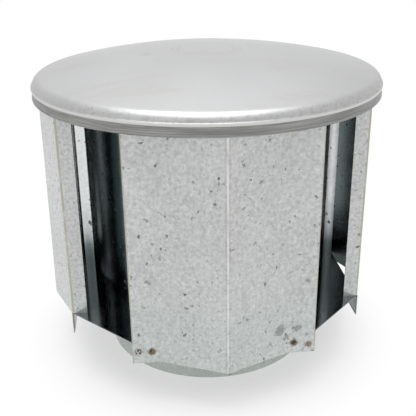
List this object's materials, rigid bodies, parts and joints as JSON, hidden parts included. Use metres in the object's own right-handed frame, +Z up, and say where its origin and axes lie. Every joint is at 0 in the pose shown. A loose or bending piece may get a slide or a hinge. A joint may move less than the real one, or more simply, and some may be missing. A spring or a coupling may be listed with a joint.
{
  "type": "vent cap",
  "caption": "Round galvanised vent cap: domed lid on folded outer panels, curved inner baffles behind the side slots, and a collar below for a flue pipe.",
  "frame": {"origin": "centre of the collar's lower rim", "axes": "+Z up along the collar's axis, -Y towards the middle of the front panel"},
  "size_m": [0.2412, 0.2412, 0.2183],
  "materials": {
    "lid_sheet": "pressed galvanised sheet, dull and faintly blotched",
    "panel_sheet": "folded galvanised sheet with dark flecks",
    "baffle_sheet": "rolled galvanised sheet, smooth",
    "plate_sheet": "flat galvanised sheet, smooth and shiny",
    "collar_sheet": "rolled galvanised sheet, slightly green-grey"
  },
  "bodies": {
    "root": {"lid": "lid_sheet", "top_plate": "plate_sheet", "front_panel": "panel_sheet", "right_panel": "panel_sheet", "rear_panel": "panel_sheet", "left_panel": "panel_sheet", "front_right_baffle": "baffle_sheet", "rear_right_baffle": "baffle_sheet", "rear_left_baffle": "baffle_sheet", "front_left_baffle": "baffle_sheet", "base_plate": "plate_sheet", "collar": "collar_sheet", "collar_flange": "collar_sheet"}
  },
  "joints": []
}
